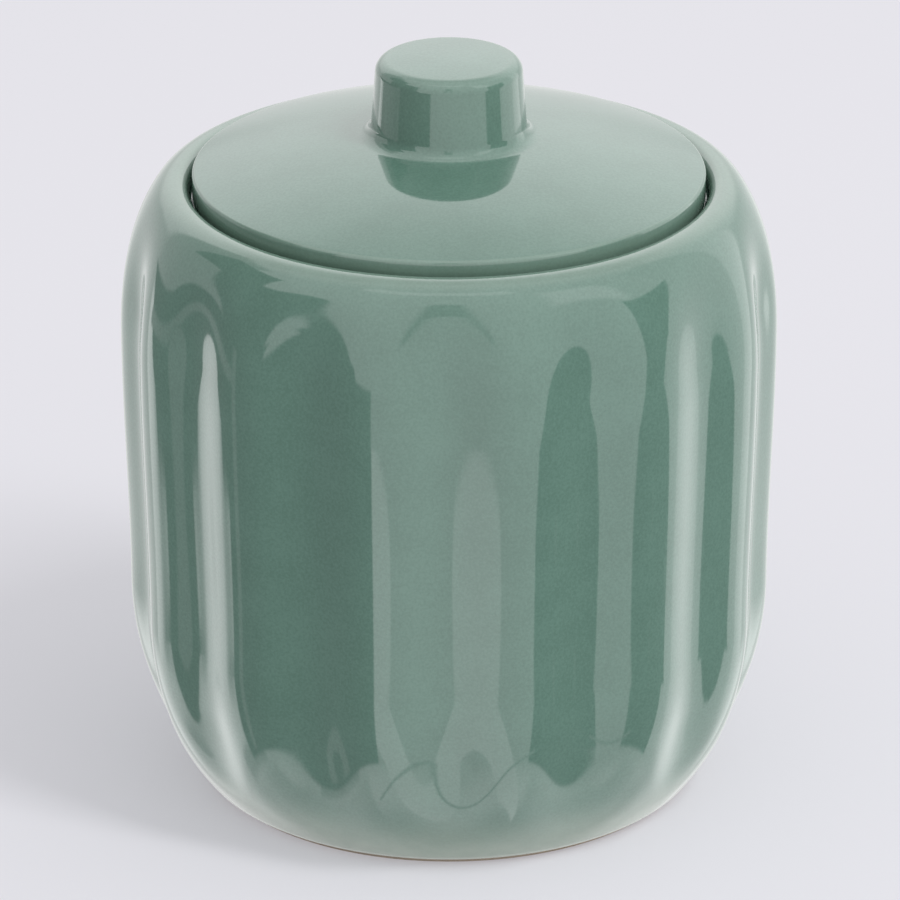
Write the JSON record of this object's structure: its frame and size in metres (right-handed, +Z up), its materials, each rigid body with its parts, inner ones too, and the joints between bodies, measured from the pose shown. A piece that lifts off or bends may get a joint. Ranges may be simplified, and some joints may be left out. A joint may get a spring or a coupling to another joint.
{
  "type": "cotton pad holder",
  "caption": "Round fluted ceramic jar with rounded shoulders and a narrow foot ring, and an inset domed lid that lifts off by a stub knob. Holds cotton pads.",
  "frame": {"origin": "centre of the foot, on the surface that the jar stands on", "axes": "+Z up along the jar's axis; the pictured side faces -Y, with a valley between two lobes on it"},
  "size_m": [0.1, 0.0982, 0.1161],
  "materials": {
    "glazed_body": "glossy sage green glaze with a fine mottle, paler where it breaks over edges",
    "glazed_lid": "glossy sage green glaze with a fine mottle",
    "glazed_knob": "glossy sage green glaze with a fine mottle"
  },
  "bodies": {
    "jar": {"jar_body": "glazed_body"},
    "lid": {"lid_disc": "glazed_lid", "lid_knob": "glazed_knob"}
  },
  "joints": [
    {"name": "lid_lift", "type": "slide", "parent": "jar", "child": "lid", "axis": [0, 0, 1], "range_m": [0, 0.12]}
  ]
}
